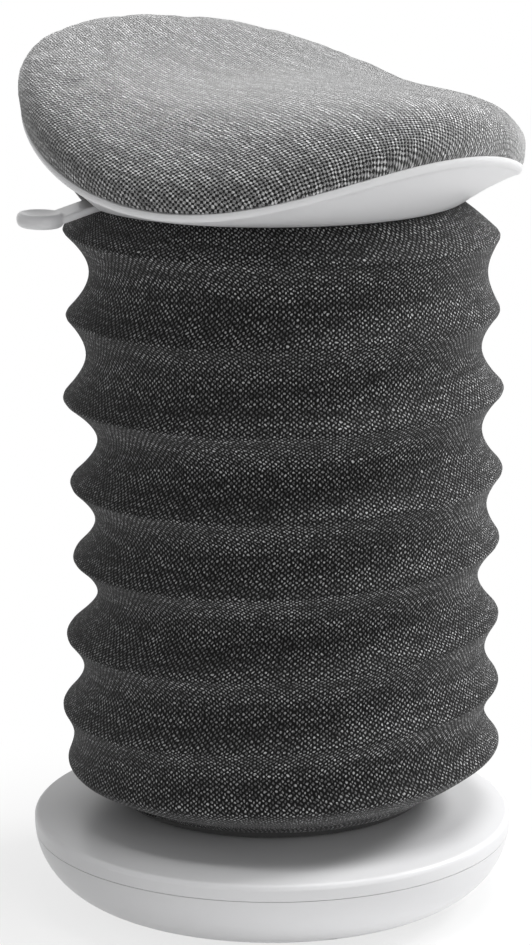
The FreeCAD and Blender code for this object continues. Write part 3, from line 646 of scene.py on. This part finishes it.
class STOOL_OT_cushion(bpy.types.Operator):
    """Makes the upholstered saddle cushion"""

    bl_idname = "stool.cushion"
    bl_label = "Make cushion"

    def execute(self, context):
        sizes = settings().seat
        finishes = settings().finishes
        clear_selection()
        bpy.ops.mesh.primitive_circle_add(vertices=RIM_POINTS, radius=1, fill_type="NOTHING")
        piece = start_piece("seat_cushion")
        rings = cushion_rings()
        size, rise = rings[0]
        bpy.ops.transform.resize(value=(size, size, 1), center_override=(0, 0, 0))
        bpy.ops.transform.translate(value=(0, 0, rise))
        for next_size, next_rise in rings[1:]:
            next_ring(next_size / size, next_rise - rise)
            size, rise = next_size, next_rise
        bpy.ops.mesh.fill_grid(span=RIM_POINTS // 4)
        # The underside goes on inwards from the tucked edge
        pick(piece, lambda place: place.z < 0.0001 - sizes.tuck and place.xy.length > 0.9)
        size = 1.0
        for next_size in (0.985, 0.93, 0.78, 0.55, 0.3, 0.14):
            next_ring(next_size / size, 0.0)
            size = next_size
        bpy.ops.mesh.fill_grid(span=RIM_POINTS // 4)
        make_oval(piece)
        outward()
        leave_edit()
        raised_by(piece, lambda place: saddle_height(place.x, place.y))
        applied(piece, "SUBSURF", levels=1, render_levels=1)
        applied(piece, "REMESH", mode="VOXEL", voxel_size=0.005)
        pressed_out(piece, sizes.swell)
        applied(piece, "SUBSURF", levels=1, render_levels=1)

        def cloth_place(vertex, _):
            """Laid flat from the crown, so that the side's fall counts as cloth."""
            place = vertex.co
            run = place.xy.length
            drop = max(0.0, saddle_height(place.x, place.y) + sizes.thickness - place.z)
            stretch = (run + drop) / max(run, 0.001)
            return place.x * stretch, place.y * stretch

        map_cloth(piece, cloth_place)
        smoothed(piece, 80)
        cover = knit("seat_knit", finishes.seat_yarn, finishes.seat_stitch, staggered=False, sheen=0.9,
                     dim=0.12, cover=(-0.2, 0.4))
        finish_piece(piece, "seat", "seat_fabric", cover, "seat_cover", "seat_foam")
        return {"FINISHED"}


class STOOL_OT_under_shell(bpy.types.Operator):
    """Makes the white shell under the cushion"""

    bl_idname = "stool.under_shell"
    bl_label = "Make under-shell"

    def execute(self, context):
        sizes = settings().seat
        lever = settings().lever
        clear_selection()
        bpy.ops.mesh.primitive_circle_add(vertices=RIM_POINTS, radius=1, fill_type="NOTHING")
        piece = start_piece("seat_under_shell")
        size, drop = 1.0, 0.0
        lip_turns = (25, 45, 62, 76, 88)
        for turn in lip_turns:
            angle = math.radians(turn)
            next_size = 1 - sizes.lip_depth * (1 - math.cos(angle)) / sizes.half_width
            next_drop = sizes.lip * math.sin(angle)
            next_ring(next_size / size, drop - next_drop)
            size, drop = next_size, next_drop
        lip_vertices = len(lip_turns) * RIM_POINTS  # all but those of its last ring
        make_oval(piece)
        leave_edit()
        raised_by(piece, lambda place: saddle_height(place.x, place.y))
        bpy.ops.mesh.primitive_circle_add(vertices=RIM_POINTS, radius=sizes.floor_radius,
                                          fill_type="NOTHING", location=(0, 0, SHELL_FLOOR))
        lower = bpy.context.object
        bpy.ops.object.transform_apply(location=True)
        select_only(lower, piece)
        bpy.ops.object.join()
        bpy.ops.object.mode_set(mode="EDIT")
        pick_numbers(piece, range(lip_vertices, lip_vertices + 2 * RIM_POINTS))
        bpy.ops.mesh.bridge_edge_loops(number_cuts=5, interpolation="LINEAR", smoothness=0.0)
        # The floor of the shell goes on inwards from the lower ring
        pick(piece, lambda place: abs(place.z - SHELL_FLOOR) < 0.0002
             and place.xy.length < sizes.floor_radius + 0.0005)
        size = 1.0
        for next_size in (0.97, 0.8, 0.5, 0.16):
            next_ring(next_size / size, 0.0)
            size = next_size
        outward()
        leave_edit()
        applied(piece, "SOLIDIFY", thickness=sizes.wall, offset=-1.0, use_even_offset=True)
        applied(piece, "SUBSURF", levels=1, render_levels=1)
        # The slot runs from well inside the wall to outside it, round the blade
        start, end = lever.exit_reach - 0.034, lever.exit_reach + 0.026
        slot_height = 0.020
        slot_middle = SHELL_FLOOR + 0.003
        slot = block("slot_cutter", (start + end) / 2, slot_middle,
                     (end - start, lever.slot_width, slot_height))
        clear_selection()
        slot.rotation_euler = (0, 0, lever.heading)
        applied(piece, "BOOLEAN", operation="DIFFERENCE", solver="EXACT", object=slot)
        bpy.data.objects.remove(slot)
        smoothed(piece, 35)
        finish_piece(piece, "seat", "white_plastic", white_plastic("seat_shell_plastic"), "seat_shell")
        return {"FINISHED"}


# Lever

class STOOL_OT_lever(bpy.types.Operator):
    """Makes the release lever's flat blade and dished paddle"""

    bl_idname = "stool.lever"
    bl_label = "Make lever"

    def execute(self, context):
        sizes = settings().lever
        start = sizes.exit_reach - 0.028
        end = sizes.paddle_reach - 0.3 * sizes.paddle_length
        blade = block("lever_grip", (start + end) / 2, sizes.exit_height,
                      (end - start, sizes.blade_width, sizes.blade_thickness))
        cuts = 6
        enter_edit()
        bpy.ops.mesh.subdivide(number_cuts=cuts)
        down = sizes.exit_height - (sizes.paddle_height + sizes.paddle_thickness / 2)
        run = end - sizes.exit_reach
        step = (end - start) / (cuts + 1)
        # The blade falls evenly from the under-shell to the paddle
        for number in range(cuts + 2):
            reach = start + step * number
            fall = down * max(0.0, reach - sizes.exit_reach) / run
            pick(blade, lambda place: abs(place.x - reach) < 0.0004)
            bpy.ops.transform.translate(value=(0, 0, -fall))
        leave_edit()
        bpy.ops.mesh.primitive_circle_add(vertices=48, radius=0.5, fill_type="NGON")
        paddle = start_piece("paddle")
        # Up its rounded side, over its rim and into its dish
        size, rise = 0.62, 0.0
        bpy.ops.transform.resize(value=(size, size, 1), center_override=(0, 0, 0))
        for next_size, share in ((0.84, 0.05), (0.95, 0.2), (1.0, 0.45), (0.99, 0.72), (0.93, 0.92),
                                 (0.84, 1.0), (0.74, 0.97), (0.62, 0.9), (0.4, 0.83), (0.15, 0.8)):
            next_rise = sizes.paddle_thickness * share
            grow = next_size / size
            bpy.ops.mesh.extrude_region_move(TRANSFORM_OT_translate={"value": (0, 0, next_rise - rise)})
            bpy.ops.transform.resize(value=(grow, grow, 1), center_override=(0, 0, 0))
            size, rise = next_size, next_rise
        bpy.ops.mesh.select_all(action="SELECT")
        bpy.ops.transform.resize(value=(sizes.paddle_length, sizes.paddle_width, 1),
                                 center_override=(0, 0, 0))
        bpy.ops.transform.translate(value=(sizes.paddle_reach, 0, sizes.paddle_height))
        outward()
        leave_edit()
        select_only(paddle, blade)
        bpy.ops.object.join()
        applied(blade, "REMESH", mode="VOXEL", voxel_size=0.0009)
        applied(blade, "SMOOTH", factor=0.5, iterations=5)
        turned(blade, sizes.heading)
        smoothed(blade, 60)
        finish_piece(blade, "lever", "white_plastic", white_plastic("lever_plastic", roughness=0.3),
                     "lever_handle")
        return {"FINISHED"}


# Sleeve

def rib_rows():
    """Rows of the sleeve from its lower ring up: radius, height, tip and shift."""
    sizes = settings().sleeve
    low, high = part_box("sleeve")
    # The cloth's outside lies just over both rings
    lower_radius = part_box("sleeve_lower_ring")[1].x + 0.0012
    upper_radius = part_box("sleeve_upper_ring")[1].x + 0.0014
    heights = [middle_of(name).z + lift for name, lift in zip(hoop_names(), sizes.lifts)]
    crests = list(zip(sizes.crests, heights, sizes.tips, sizes.shifts))
    end_gap = 0.0002  # between the cloth's two ends and the solid sleeve's
    radius, height, tip, shift = crests[0]
    hem_shift = shift + sizes.hem_shift
    rows = [(lower_radius, low.z + end_gap, 0.0, 0.0),
            (sizes.hem_radius - 0.0055, low.z + 0.0012, 0.4 * tip, 0.7 * shift),
            (sizes.hem_radius, sizes.hem_height, tip, hem_shift),
            (sizes.hem_radius + 0.009, sizes.hem_height + 0.0042, tip, hem_shift)]
    for inward, down in ((0.013, 0.0125), (0.004, 0.0062), (0.0006, 0.0026)):
        rows.append((radius - inward, height - down, tip, shift))
    for below, above, depth, aside in zip(crests, crests[1:], sizes.valleys, sizes.valley_shifts):
        rows.append(below)
        for share in (0.06, 0.14, 0.25, 0.37, 0.5, 0.63, 0.75, 0.86, 0.94):
            radius, height, tip, shift = (first + (second - first) * share
                                          for first, second in zip(below, above))
            fall = 1 - abs(2 * share - 1) ** sizes.valley_shape
            rows.append((radius - depth * fall, height, tip, shift + aside * 4 * share * (1 - share)))
    rows.append(crests[-1])
    radius, height, tip, shift = crests[-1]
    for share in (0.12, 0.3, 0.5, 0.72, 0.9, 1.0):
        rows.append((radius + (upper_radius - radius) * share ** 0.92,
                     height + (high.z - end_gap - height) * share,
                     tip * (1 - share), shift * (1 - share ** 2)))
    return rows


def profile_run(rows):
    """Distance along the cloth of each row."""
    run = [0.0]
    for (radius, height, _, _), (radius_2, height_2, _, _) in zip(rows, rows[1:]):
        run.append(run[-1] + math.hypot(radius_2 - radius, height_2 - height))
    return run


def row_members(piece, rows):
    """Numbers of the vertices on each row, while the rows are still level."""
    members = [[] for _ in rows]
    for vertex in piece.data.vertices:
        nearest = min(range(len(rows)), key=lambda row: abs(rows[row][1] - vertex.co.z))
        members[nearest].append(vertex.index)
    return members


class STOOL_OT_sleeve(bpy.types.Operator):
    """Makes the ribbed knit sleeve round its hoops"""

    bl_idname = "stool.sleeve"
    bl_label = "Make sleeve"

    segments: IntProperty(name="Segments", description="Faces round the sleeve", default=96)

    def execute(self, context):
        sizes = settings().sleeve
        finishes = settings().finishes
        rows = rib_rows()
        clear_selection()
        bpy.ops.mesh.primitive_plane_add(size=0.001, location=(rows[0][0], 0, rows[0][1]))
        piece = start_piece("knit_sleeve")
        bpy.ops.mesh.merge(type="CENTER")
        for (radius, height, _, _), (radius_2, height_2, _, _) in zip(rows, rows[1:]):
            bpy.ops.mesh.extrude_vertices_move(
                TRANSFORM_OT_translate={"value": (radius_2 - radius, 0, height_2 - height)})
        leave_edit()
        bpy.ops.object.transform_apply(location=True)
        enter_edit()
        bpy.ops.mesh.spin(steps=self.segments, angle=2 * math.pi, center=(0, 0, 0), axis=(0, 0, 1))
        outward()
        leave_edit()
        members = row_members(piece, rows)
        row_of = {number: row for row, numbers in enumerate(members) for number in numbers}
        runs = profile_run(rows)
        stitch = finishes.sleeve_stitch[0]
        way_round = 2 * math.pi * max(sizes.crests)
        around = round(way_round / stitch) * stitch / (2 * math.pi)

        def cloth_place(vertex, centre):
            """Whole stitches round the sleeve, each corner on its own face's side of the seam."""
            middle = math.atan2(centre.y, centre.x)
            turn = math.atan2(vertex.co.y, vertex.co.x) - middle
            turn = middle + (turn + math.pi) % (2 * math.pi) - math.pi
            return turn * around, runs[row_of[vertex.index]]

        map_cloth(piece, cloth_place)
        bpy.ops.object.mode_set(mode="EDIT")
        for numbers, (_, height, tip, shift) in zip(members, rows):
            pick_numbers(piece, numbers)
            bpy.ops.transform.rotate(value=tip, orient_axis="Y", orient_type="GLOBAL",
                                     center_override=(0, 0, height))
            bpy.ops.transform.translate(value=(shift, 0, 0))
        leave_edit()
        turned(piece, sizes.heading)
        applied(piece, "SUBSURF", levels=1, render_levels=1)
        soft_folds = bpy.data.textures.new("sleeve_folds", "CLOUDS")
        soft_folds.noise_scale = 0.075
        soft_folds.noise_depth = 1
        applied(piece, "DISPLACE", texture=soft_folds, texture_coords="LOCAL", mid_level=0.5,
                strength=0.0016)
        applied(piece, "SOLIDIFY", thickness=sizes.cloth, offset=-1.0)
        smoothed(piece, 80)
        cover = knit("sleeve_knit", finishes.sleeve_yarn, finishes.sleeve_stitch, staggered=True,
                     sheen=0.15, dim=0.05, cover=(0.05, 0.7))
        finish_piece(piece, "turning_column", "sleeve_fabric", cover, "sleeve")
        low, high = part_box("sleeve")
        height = next(joint for joint in frame["joints"] if joint["name"] == "height")
        travel = abs(min(height["range_m"]))
        1 - travel / (high.z - low.z)
        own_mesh(piece)
        return {"FINISHED"}


class STOOL_OT_hoops(bpy.types.Operator):
    """Makes the steel hoops inside the ribs, each with its crimped joint"""

    bl_idname = "stool.hoops"
    bl_label = "Make hoops"

    def execute(self, context):
        sizes = settings().sleeve
        first_radius = 0.1
        crimp_half_length = 0.009
        crimp_wall = 0.0006
        clear_selection()
        bpy.ops.mesh.primitive_torus_add(major_radius=first_radius, minor_radius=sizes.hoop_wire,
                                         major_segments=96, minor_segments=10)
        first = start_piece("hoop_wire")
        pick(first, lambda place: place.x < -0.9 * first_radius and abs(place.y) < crimp_half_length)
        bpy.ops.mesh.extrude_region_shrink_fatten(TRANSFORM_OT_shrink_fatten={"value": crimp_wall})
        leave_edit()
        steel = metal("hoop_wire_steel", (0.50, 0.50, 0.51), 0.3, 500.0, 0.0001)
        values = zip(hoop_names(), sizes.crests, sizes.lifts, sizes.tips, sizes.shifts)
        for number, (name, crest, lift, tip, shift) in enumerate(values, 1):
            hoop = first.copy()
            hoop.data = first.data.copy()
            hoop.name = hoop.data.name = f"hoop_wire_{number}"
            context.collection.objects.link(hoop)
            height = middle_of(name).z + lift
            grow = (crest - sizes.cloth - sizes.hoop_gap - sizes.hoop_wire) / first_radius
            select_only(hoop)
            enter_edit()
            bpy.ops.transform.resize(value=(grow, grow, 1), center_override=(0, 0, 0))
            bpy.ops.transform.rotate(value=tip, orient_axis="Y", orient_type="GLOBAL",
                                     center_override=(0, 0, 0))
            bpy.ops.transform.translate(value=(shift, 0, height))
            leave_edit()
            turned(hoop, sizes.heading)
            smoothed(hoop, 40)
            finish_piece(hoop, name.replace("sleeve_", ""), "hoop_steel", steel, name)
        bpy.data.objects.remove(first)
        return {"FINISHED"}


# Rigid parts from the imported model

class STOOL_OT_rigid_parts(bpy.types.Operator):
    """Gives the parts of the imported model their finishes"""

    bl_idname = "stool.rigid_parts"
    bl_label = "Finish rigid parts"

    def execute(self, context):
        steel = metal("bright_steel", (0.62, 0.62, 0.63), 0.25, 500.0, 0.0001)
        by_slot = {
            "rubber": moulded("black_rubber", (0.03, 0.03, 0.032), 0.75),
            "screw_steel": metal("zinc_screws", (0.60, 0.60, 0.57), 0.35, 350.0, 0.0001),
            "cast_iron": metal("cast_iron", (0.13, 0.13, 0.135), 0.6, 160.0, 0.0006),
            "black_steel": metal("black_steel", (0.045, 0.045, 0.047), 0.42, 420.0, 0.0001),
            "bright_steel": steel,
            "black_plastic": moulded("black_plastic", (0.03, 0.03, 0.03), 0.45),
            "chrome": metal("chrome", (0.75, 0.75, 0.76), 0.12, 300.0, 0.00004),
            "board_wood": plywood("board_plywood"),
            "foam": moulded("foam", (0.75, 0.68, 0.45), 0.9),
            "hoop_steel": steel,
            "white_plastic": white_plastic("base_plastic"),
            "seat_fabric": moulded("hidden_cover", (0.08, 0.08, 0.08), 0.9),
            "sleeve_fabric": moulded("hidden_sleeve", (0.05, 0.05, 0.05), 0.9),
        }
        slot_of = {part["node"]: part["material_slot"] for part in frame["record"]["subparts"]}
        for name, node in frame["nodes"].items():
            node.data.materials.clear()
            node.data.materials.append(by_slot[slot_of[name]])
        return {"FINISHED"}


# Stage

class STOOL_OT_stage(bpy.types.Operator):
    """Makes the pale floor, the lights and the camera"""

    bl_idname = "stool.stage"
    bl_label = "Make stage"

    def execute(self, context):
        sizes = settings().stage
        clear_selection()
        bpy.ops.mesh.primitive_plane_add(size=12.0, location=(0, 0, 0))
        floor = start_piece("floor")
        bpy.ops.mesh.subdivide(number_cuts=3)
        leave_edit()
        finish = Finish("pale_floor", roughness=0.9, specular_ior_level=0.1)
        place = finish.place()
        cloud = finish.noise(place, 3.0)
        finish.coat(base_color=finish.mix(cloud, shade(sizes.floor, 0.99), sizes.floor))
        white = finish.wire("ShaderNodeEmission", {}, {"Color": (1.0, 1.0, 1.0), "Strength": 1.0})
        away = finish.wire("ShaderNodeVectorMath", {"operation": "LENGTH"}, {0: place}, "Value")
        whiteness = finish.seen_white() * away.stepped(0.17, 0.4, 0.75, 1.0)
        surface = Wire(finish, finish.shader.outputs[0])
        both = finish.wire("ShaderNodeMixShader", {}, {0: whiteness, 1: surface, 2: white})
        finish.feed(finish.out.inputs["Surface"], both)
        floor.data.materials.append(finish.material)

        world = bpy.data.worlds.new("studio")
        context.scene.world = world
        studio = Nodes(world)
        light, backdrop = (studio.wire("ShaderNodeBackground", {},
                                       {"Color": (1.0, 1.0, 1.0), "Strength": strength})
                           for strength in (sizes.sky, 1.0))
        seen = studio.wire("ShaderNodeMixShader", {}, {0: studio.seen_white(), 1: light, 2: backdrop})
        studio.add("ShaderNodeOutputWorld", {}, {"Surface": seen})

        bpy.ops.object.camera_add(location=sizes.camera_place,
                                  rotation=(math.pi / 2 - sizes.camera_down, 0, sizes.camera_turn))
        camera = context.object
        camera.name = "camera"
        camera.data.sensor_width = 36.0
        camera.data.lens = sizes.lens
        camera.data.clip_start = 0.05
        camera.data.clip_end = 50.0
        context.scene.camera = camera
        context.scene.view_settings.view_transform = "Standard"
        add_light("key_softbox", (0.98, 1.62, 1.75), (0, 0, 0.35), 0.8, 37.0)
        add_light("top_softbox", (0.35, 0.1, 2.0), (0, 0, 0.4), 1.0, 24.0)
        add_light("front_softbox", (2.1, -0.6, 0.9), (0, 0, 0.3), 1.2, 4.0)
        return {"FINISHED"}


def add_light(name, place, target, size, power):
    """A square softbox that faces its target."""
    bpy.ops.object.light_add(type="AREA", location=place)
    light = bpy.context.object
    light.name = name
    light.data.shape = "SQUARE"
    light.data.size = size
    light.data.energy = power
    light.rotation_euler = (Vector(target) - Vector(place)).to_track_quat("-Z", "Y").to_euler()


class STOOL_PT_panel(bpy.types.Panel):
    """Lists the steps that dress the stool"""

    bl_label = "Wobble stool"
    bl_idname = "STOOL_PT_panel"
    bl_space_type = "VIEW_3D"
    bl_region_type = "UI"
    bl_category = "Wobble stool"

    def draw(self, context):
        for step in STEPS:
            self.layout.operator(step.bl_idname)
        for group in ("seat", "sleeve", "lever", "finishes", "stage"):
            box = self.layout.box()
            box.label(text=group.title())
            values = getattr(context.scene.wobble_stool, group)
            for name in values.__annotations__:
                box.prop(values, name)


GROUPS = (SeatSizes, SleeveSizes, LeverSizes, Finishes, StageSizes, StoolSettings)
STEPS = (STOOL_OT_stage, STOOL_OT_rigid_parts, STOOL_OT_under_shell, STOOL_OT_lever, STOOL_OT_cushion,
         STOOL_OT_hoops, STOOL_OT_sleeve)


def register():
    for group in (*GROUPS, *STEPS, STOOL_PT_panel):
        bpy.utils.register_class(group)
    bpy.types.Scene.wobble_stool = PointerProperty(type=StoolSettings)


def unregister():
    del bpy.types.Scene.wobble_stool
    for group in reversed((*GROUPS, *STEPS, STOOL_PT_panel)):
        bpy.utils.unregister_class(group)


def main():
    register()
    bpy.ops.stool.stage()
    bpy.ops.stool.rigid_parts()
    bpy.ops.stool.under_shell()
    bpy.ops.stool.lever()
    bpy.ops.stool.cushion()
    bpy.ops.stool.hoops()
    bpy.ops.stool.sleeve()


if __name__ == "__main__":
    main()
